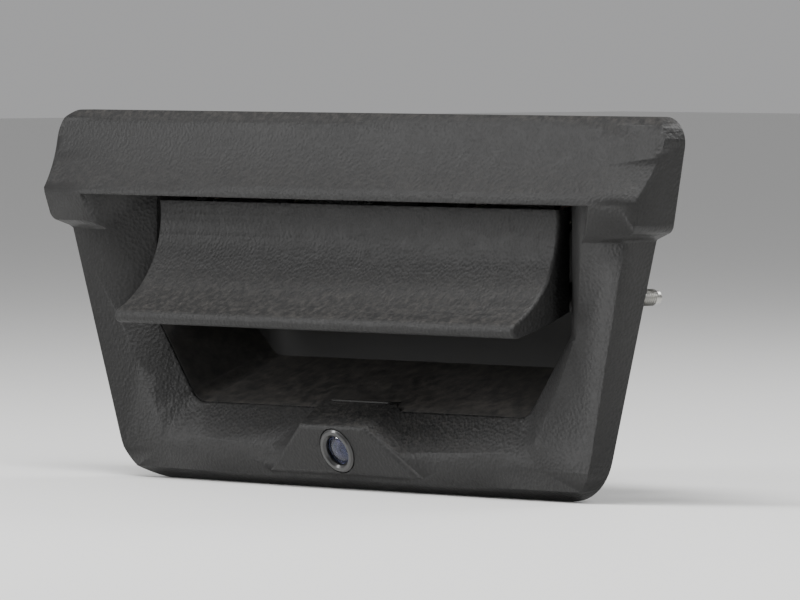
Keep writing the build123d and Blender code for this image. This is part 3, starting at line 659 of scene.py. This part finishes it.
screws = {
    "plate_screws": {"tilt": 0, "head": 3.1 * mm, "height": 1.6 * mm, "shank": 1.45 * mm},
    "cover_screws": {"tilt": 0, "head": 2.7 * mm, "height": 1.5 * mm, "shank": 1.15 * mm},
    "bracket_screws": {"tilt": 0, "head": 3.3 * mm, "height": 1.5 * mm, "shank": 1.45 * mm},
    "camera_screws": {"tilt": cameraTilt, "head": 2.6 * mm, "height": 1.5 * mm, "shank": 1.15 * mm},
    "case_screws": {"tilt": cameraTilt, "head": 1.4 * mm, "height": 1.1 * mm, "shank": 0.68 * mm},
}


# Parts of the head's radius, but "waist" narrows the recess between its lobes
# and "deep" is a part of the head's height
recess = {"rim": 0.28, "step": 0.22, "lobes": 0.51, "waist": 0.78, "deep": 0.6}
edgeOfHead = 0.16  # part of the head's height
screwTip = {"narrow": 0.6, "long": 0.5}  # parts of the shank's radius


def lobedScrew(head, height, shank, length):
    # Stands along +Z with the top of its head at the origin
    piece = upright(head, -height, 0)
    pickFaces(piece, lambda centre, normal: normal.z > 0.9)
    bpy.ops.mesh.inset(thickness=head * recess["rim"])
    bpy.ops.mesh.inset(thickness=head * recess["step"])

    def betweenLobes(point):
        away = math.hypot(point.x, point.y)
        between = math.cos(6 * math.atan2(point.y, point.x)) < -0.2
        return away < recess["lobes"] * head and between

    pickPoints(piece, betweenLobes)
    waist = recess["waist"]
    bpy.ops.transform.resize(value=(waist, waist, 1), center_override=(0, 0, 0))
    middle = 0.05 * head
    pickFaces(piece, lambda centre, normal: normal.z > 0.9 and centre.xy.length < middle)
    bpy.ops.mesh.extrude_region_move(TRANSFORM_OT_translate={"value": (0, 0, -height * recess["deep"])})
    pickFaces(piece, lambda centre, normal: normal.z < -0.9)
    bpy.ops.mesh.inset(thickness=head - shank)
    bpy.ops.mesh.extrude_region_move(TRANSFORM_OT_translate={"value": (0, 0, height - length)})
    bpy.ops.mesh.inset(thickness=shank * screwTip["narrow"])
    bpy.ops.transform.translate(value=(0, 0, -shank * screwTip["long"]))
    bpy.ops.object.mode_set(mode="OBJECT")
    bevelEdges(piece, height * edgeOfHead, 2, 50)
    return piece


def screwSet(nodeName, tilt, head, height, shank):
    slant = math.radians(tilt)
    outward = Vector((0, math.cos(slant), math.sin(slant)))
    boxes = solidBoxes(nodeName)
    low, high = boxes[0]
    depth = (high.y - low.y - (head + shank) * math.sin(slant)) / math.cos(slant)
    pattern = lobedScrew(head, height, shank, depth - shank * screwTip["long"])
    made = []
    for index, (low, high) in enumerate(boxes):
        # The head's rear edge is the highest point of the box along the screw
        side = (low.x + high.x) / 2
        top = high.y - head * math.sin(slant)
        rise = high.z - head * math.cos(slant)
        screw = copyOf(pattern, f"{nodeName}{index}")
        moveTo(screw, Vector((side, top, rise)), outward)
        made.append(screw)
    bpy.data.objects.remove(pattern)
    piece = joinAll(made, nodeName + "Lobed")
    closeUp(piece)
    settle(piece, nodeName)
    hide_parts(nodeName)


for nodeName, sizes in screws.items():
    screwSet(nodeName, **sizes)
print("screws made")


# Studs with a rolled thread

stud = {
    "radius": 3.0 * mm,
    "root": 2.45 * mm,
    "pitch": 1.0 * mm,
    "flank": 0.38 * mm,
    "crest": 0.1 * mm,
    "sunk": 0.1 * mm,  # how far the thread reaches into its core
    "collar": 3.8 * mm,
    "headRadius": 5.6 * mm,
    "headHeight": 3.4 * mm,
    "plain": 1.2 * mm,  # unthreaded length behind the skin
    "tipEdge": 0.5 * mm,
    "collarEdge": 0.25 * mm,
    "headEdge": 0.3 * mm,
}


def threadedStud(tip, seat):
    # Stands along +Z, with the skin plane at zero
    deselectAll()
    flank = stud["flank"]
    bpy.ops.mesh.primitive_plane_add(size=stud["pitch"], location=(0, 0, 0))
    thread = bpy.context.object
    bpy.ops.object.mode_set(mode="EDIT")
    bpy.ops.mesh.select_all(action="SELECT")
    bpy.ops.mesh.delete(type="VERT")
    bpy.ops.object.mode_set(mode="OBJECT")
    start = stud["plain"]
    heights = (0, flank, flank + stud["crest"], 2 * flank + stud["crest"])
    inside = stud["root"] - stud["sunk"]
    radii = (inside, stud["radius"], stud["radius"], inside)
    points = [(radius, 0, start + height) for radius, height in zip(radii, heights)]
    thread.data.from_pydata(points, [(index, (index + 1) % 4) for index in range(4)], [])
    turns = int((tip - start) / stud["pitch"]) - 2
    modifier = thread.modifiers.new("rolledThread", "SCREW")
    modifier.axis = "Z"
    modifier.screw_offset = stud["pitch"]
    modifier.iterations = turns
    modifier.steps = 32
    modifier.render_steps = 32
    applyModifiers(thread)
    capEnds(thread)
    core = upright(stud["root"], seat, tip)
    bevelEdges(core, stud["tipEdge"], 2, 50)
    collar = upright(stud["collar"], seat, 0)
    bevelEdges(collar, stud["collarEdge"], 2, 50)
    shoulder = upright(stud["radius"], -start, start)
    bevelEdges(shoulder, stud["headEdge"], 2, 50)
    head = upright(stud["headRadius"], seat - stud["headHeight"], seat, 6)
    head.rotation_euler = (0, 0, math.radians(30))
    bpy.ops.object.transform_apply(rotation=True)
    bevelEdges(head, stud["headEdge"], 2, 40)
    return joinAll([core, thread, collar, shoulder, head], "studPattern")


def makeStuds():
    low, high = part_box("mounting_studs")
    seat = low.y + stud["headHeight"]
    pattern = threadedStud(high.y, seat)
    made = []
    for index, side in enumerate((low.x + stud["headRadius"], high.x - stud["headRadius"])):
        one = copyOf(pattern, f"stud{index}")
        moveTo(one, (side, 0, 0), (0, 1, 0))
        made.append(one)
    bpy.data.objects.remove(pattern)
    piece = joinAll(made, "threadedStuds")
    closeUp(piece)
    settle(piece, "mounting_studs")
    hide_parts("mounting_studs")


makeStuds()
print("studs made")


# Return spring, wound round the hinge pin

spring = {
    "wire": 0.75 * mm,
    "coil": 4.35 * mm,
    "gap": 0.12 * mm,
    "sides": 12,
    "legSides": 16,
    "legEdge": 0.3 * mm,
    "still": 2 * mm,  # length at each end of the wire
}


def makeSpring():
    low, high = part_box("return_spring")
    hinge = Vector(jointOf["paddle_hinge"]["pos_m"])
    pitch = 2 * spring["wire"] + spring["gap"]
    turns = int((high.x - low.x - 2 * spring["wire"]) / pitch)
    deselectAll()
    bpy.ops.mesh.primitive_circle_add(
        vertices=spring["sides"],
        radius=spring["wire"],
        fill_type="NOTHING",
    )
    coil = bpy.context.object
    coil.rotation_euler = (math.radians(90), 0, 0)
    bpy.ops.object.transform_apply(rotation=True)
    coil.data.transform(Matrix.Translation((spring["coil"], 0, 0)))
    modifier = coil.modifiers.new("winding", "SCREW")
    modifier.axis = "Z"
    modifier.screw_offset = pitch
    modifier.iterations = turns
    modifier.steps = 32
    modifier.render_steps = 32
    applyModifiers(coil)
    capEnds(coil)
    # Half a turn round, so that the winding starts and ends over the top of the pin
    coil.data.transform(Matrix.Rotation(math.radians(180), 4, "Z"))
    moveTo(coil, Vector((low.x + spring["wire"], hinge.y, hinge.z)), (1, 0, 0))
    frontLeg = (low.x + spring["wire"], (low.y + hinge.y) / 2, hinge.z - spring["coil"])
    roofLeg = (high.x - spring["wire"], hinge.y + spring["coil"], (hinge.z + high.z) / 2)
    legs = [
        (frontLeg, hinge.y - low.y, (0, 1, 0)),
        (roofLeg, high.z - hinge.z, (0, 0, 1)),
    ]
    made = [coil]
    for centre, length, along in legs:
        deselectAll()
        bpy.ops.mesh.primitive_cylinder_add(
            vertices=spring["legSides"],
            radius=spring["wire"],
            depth=length,
        )
        leg = bpy.context.object
        bevelEdges(leg, spring["legEdge"], 2, 50)
        moveTo(leg, Vector(centre), along)
        made.append(leg)
    piece = joinAll(made, "returnSpringWire")
    closeUp(piece, 60)
    paint(piece, "spring_steel")
    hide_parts("return_spring")
    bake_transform(piece)


makeSpring()
print("spring wound")


# Camera: light baffles behind the front glass, and a seal in the socket

baffle = {
    "outer": 4.9 * mm,
    "hole": 1.5 * mm,
    "steps": 3,
    "deep": 0.9 * mm,
    "blank": 0.2 * mm,
    "sheet": 0.08 * mm,
    "riser": 0.55,  # parts of a step's width
    "tread": 1.3,
    "behind": 3.15 * mm,  # from the front of the lens ring
}
seal = {
    "width": 9.8 * mm,
    "height": 5.8 * mm,
    "depth": 1.6 * mm,
    "wall": 0.8 * mm,
    "snug": (1.04, 1.06),
    "edge": 0.25 * mm,
    "behind": 24.5 * mm,
}
ringHalf = 1.0 * mm  # half the depth of the lens ring
lensTilt = math.radians(cameraTilt)
lensBack = Vector((0, math.cos(lensTilt), math.sin(lensTilt)))


def lensFront():
    # Middle of the lens ring's front face
    low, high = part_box("lens_ring")
    middle = (low + high) / 2
    return middle - lensBack * ringHalf


def makeBaffle():
    deselectAll()
    bpy.ops.mesh.primitive_cylinder_add(
        vertices=64,
        radius=baffle["outer"],
        depth=baffle["blank"],
    )
    piece = bpy.context.object
    pickFaces(piece, lambda centre, normal: normal.z < -0.9)
    width = (baffle["outer"] - baffle["hole"]) / (2 * baffle["steps"])
    rise = baffle["deep"] / baffle["steps"]
    for step in range(baffle["steps"]):
        bpy.ops.mesh.inset(thickness=width * baffle["riser"])
        bpy.ops.mesh.extrude_region_move(TRANSFORM_OT_translate={"value": (0, 0, rise)})
        bpy.ops.mesh.inset(thickness=width * baffle["tread"])
    bpy.ops.mesh.delete(type="FACE")
    bpy.ops.object.mode_set(mode="OBJECT")
    # The blank's other side is one face round the middle
    pickFaces(piece, lambda centre, normal: normal.z > 0.9 and centre.length < baffle["hole"])
    bpy.ops.mesh.delete(type="FACE")
    bpy.ops.object.mode_set(mode="OBJECT")
    wall = piece.modifiers.new("sheet", "SOLIDIFY")
    wall.thickness = baffle["sheet"]
    applyModifiers(piece)
    moveTo(piece, lensFront() + lensBack * baffle["behind"], lensBack)
    piece.name = "lensBaffle"
    closeUp(piece)
    settle(piece, "lens_barrel")


def makeSocketSeal():
    deselectAll()
    bpy.ops.mesh.primitive_cube_add(size=1)
    piece = bpy.context.object
    wider, taller = seal["snug"]
    piece.scale = (seal["width"] * wider, seal["height"] * taller, seal["depth"])
    bpy.ops.object.transform_apply(scale=True)
    pickFaces(piece, lambda centre, normal: abs(normal.z) > 0.9)
    bpy.ops.mesh.inset(thickness=seal["wall"])
    bpy.ops.mesh.bridge_edge_loops()
    bpy.ops.object.mode_set(mode="OBJECT")
    bevelEdges(piece, seal["edge"], 2, 40)
    moveTo(piece, lensFront() + lensBack * seal["behind"], lensBack)
    piece.name = "socketSeal"
    closeUp(piece)
    settle(piece, "camera_rear_case", "clip_green")


makeBaffle()
makeSocketSeal()
print("camera details made")


# Studio

studio = {
    "azimuth": 47.0,
    "elevation": 2.0,
    "distance": 3.0,
    "focal": 372.0,
    "floorSize": 16.0,
    "floorGap": 0.1 * mm,
    "world": 0.40,
}
# Place, size and power of each lamp; all of them face the part
lamps = {
    "topBox": ((0.1, -0.5, 1.3), (1.0, 0.4), 28),
    "leftStrip": ((-0.9, -1.1, 0.5), (0.25, 1.0), 17),
    "rightBox": ((1.3, -0.4, 0.7), (0.25, 0.9), 12),
    "backBox": ((0.2, 1.2, 0.8), (0.9, 0.4), 9),
}


def makeFloor():
    deselectAll()
    underside = cadBox[0][2] - studio["floorGap"]
    bpy.ops.mesh.primitive_plane_add(size=studio["floorSize"], location=(0, 0, underside))
    floor = bpy.context.object
    floor.name = "floor"
    look = Finish("paleFloor", Roughness=0.6)
    look.shader.inputs["Base Color"].default_value = (0.72, 0.72, 0.71, 1)
    floor.data.materials.append(look.material)


def makeLight(name, place, size, power):
    light = bpy.data.lights.new(name, "AREA")
    light.shape = "RECTANGLE"
    light.size, light.size_y = size
    light.energy = power
    lamp = bpy.data.objects.new(name, light)
    bpy.context.scene.collection.objects.link(lamp)
    lamp.location = place
    lamp.rotation_euler = (-Vector(place)).to_track_quat("-Z", "Y").to_euler()


def makeCamera():
    low, high = cadBox
    middle = (Vector(low) + Vector(high)) / 2
    azimuth = math.radians(studio["azimuth"])
    elevation = math.radians(studio["elevation"])
    away = Vector((
        math.sin(azimuth) * math.cos(elevation),
        -math.cos(azimuth) * math.cos(elevation),
        math.sin(elevation),
    ))
    lens = bpy.data.cameras.new("camera")
    lens.lens = studio["focal"]
    lens.clip_end = 50
    camera = bpy.data.objects.new("camera", lens)
    bpy.context.scene.collection.objects.link(camera)
    camera.location = middle + away * studio["distance"]
    camera.rotation_euler = (-away).to_track_quat("-Z", "Y").to_euler()
    bpy.context.scene.camera = camera


def makeWorld():
    world = bpy.data.worlds.new("studio")
    world.use_nodes = True
    sky = world.node_tree.nodes["Background"]
    level = studio["world"]
    sky.inputs["Color"].default_value = (level, level, level * 1.01, 1)
    sky.inputs["Strength"].default_value = 1.0
    bpy.context.scene.world = world


makeFloor()
makeWorld()
for lampName, (place, size, power) in lamps.items():
    makeLight(lampName, place, size, power)
makeCamera()
print("studio ready")
